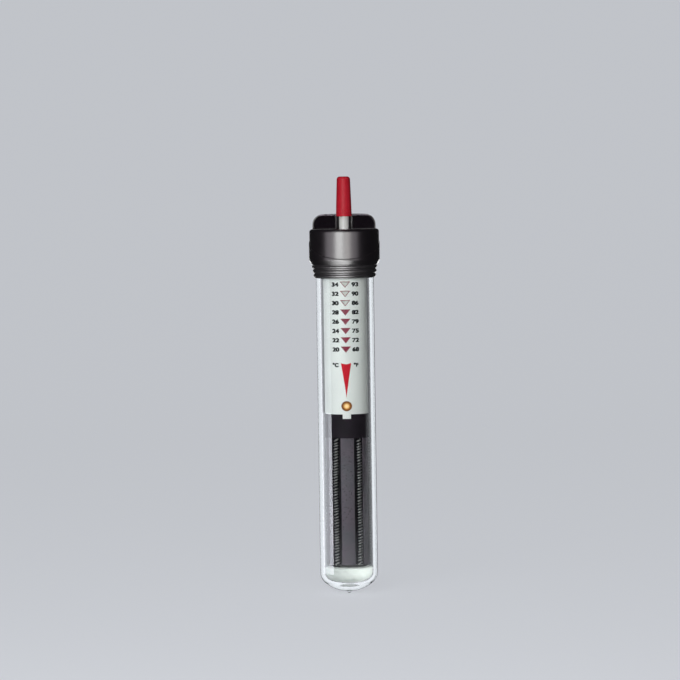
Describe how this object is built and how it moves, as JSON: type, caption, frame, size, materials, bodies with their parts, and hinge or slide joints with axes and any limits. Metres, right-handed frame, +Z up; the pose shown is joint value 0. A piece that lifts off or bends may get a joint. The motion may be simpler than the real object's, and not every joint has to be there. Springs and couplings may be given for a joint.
{
  "type": "submersible aquarium heater",
  "caption": "Glass-tube submersible aquarium heater with a cap-top knob, a filling temperature scale, a pilot lamp, a bimetal thermostat and a fluted ceramic element.",
  "frame": {"origin": "On the tube axis, at the middle of the straight glass between the closed round end and the ribbed collar, where a holder grips it.", "axes": "+Z runs up the tube from the closed end to the cap and knob, -Y is the front with the scale, the lamp and the knob, +X is to the right seen from the front."},
  "size_m": [0.0306, 0.0306, 0.1809],
  "materials": {
    "black_plastic": "glossy moulded, soft broad highlight",
    "black_rubber": "satin",
    "red_plastic": "moulded, satin gloss",
    "white_nylon": "moulded, satin",
    "white_card": "matt, printed scale",
    "crimson_film": "matt film",
    "clear_glass": "clear, polished",
    "phenolic": "satin, moulded",
    "black_phenolic": "matt",
    "bimetal": "rolled",
    "brass_parts": "stamped",
    "contact_silver": "turned",
    "steel_parts": "bright",
    "magnet_ferrite": "matt",
    "amber_lens": "translucent, lit",
    "neon_glass": "clear bulb, lit",
    "resistor_body": "lacquered",
    "capacitor_body": "lacquered",
    "bare_wire": "tinned",
    "fibre_sleeving": "woven glass fibre",
    "mica": "layered sheet",
    "steatite": "fired, unglazed",
    "nichrome": "wound wire",
    "fibre_plug": "pressed ceramic fibre"
  },
  "bodies": {
    "heater_body": {"cap_housing": "black_plastic", "cord_grommet": "black_rubber", "spindle_o_ring": "black_rubber", "gland_bush": "white_nylon", "sealing_collar": "black_rubber", "tube_stopper": "white_nylon", "terminal_posts": "brass_parts", "glass_tube": "clear_glass", "scale_sleeve": "white_card", "thermostat_frame": "phenolic", "snap_magnet": "magnet_ferrite", "blade_clamp": "brass_parts", "blade_rivets": "steel_parts", "arm_pin": "steel_parts", "arm_spring": "steel_parts", "lamp_lens": "amber_lens", "neon_lamp": "neon_glass", "lamp_resistor": "resistor_body", "suppression_capacitor": "capacitor_body", "lamp_leads": "bare_wire", "heater_leads": "fibre_sleeving", "element_collar": "black_phenolic", "insulating_disc": "mica", "ceramic_core": "steatite", "heating_coils": "nichrome", "coil_links": "nichrome", "end_plug": "fibre_plug"},
    "setting": {"knob": "red_plastic", "spindle": "white_nylon", "spindle_clip": "steel_parts", "indicator_drum": "white_nylon", "indicator_wrap": "crimson_film"},
    "nut": {"setting_nut": "brass_parts"},
    "arm": {"contact_arm": "brass_parts", "arm_contact": "contact_silver"},
    "blade": {"bimetal_blade": "bimetal", "blade_contact": "contact_silver", "blade_armature": "steel_parts"}
  },
  "joints": [
    {"name": "knob_turn", "type": "hinge", "parent": "heater_body", "child": "setting", "pos_m": [0, -0.0036, 0.085], "axis": [0, 0, 1], "range_deg": [-180, 135]},
    {"name": "nut_climb", "type": "slide", "parent": "heater_body", "child": "nut", "axis": [0, 0, 1], "range_m": [-0.00025, 0.0001875]},
    {"name": "arm_tilt", "type": "hinge", "parent": "heater_body", "child": "arm", "pos_m": [0, 0.0018, 0.0192], "axis": [1, 0, 0], "range_deg": [-1.99, 2.66]},
    {"name": "blade_bend", "type": "hinge", "parent": "heater_body", "child": "blade", "pos_m": [0, 0.0043, 0.0581], "axis": [1, 0, 0], "range_deg": [0, 1.5], "stiffness_Nm_per_rad": 0.02}
  ],
  "couplings": [
    {"joint": "knob_turn", "follows": "nut_climb", "rad_per_m": 12566},
    {"joint": "arm_tilt", "follows": "nut_climb", "rad_per_m": -185.19}
  ]
}
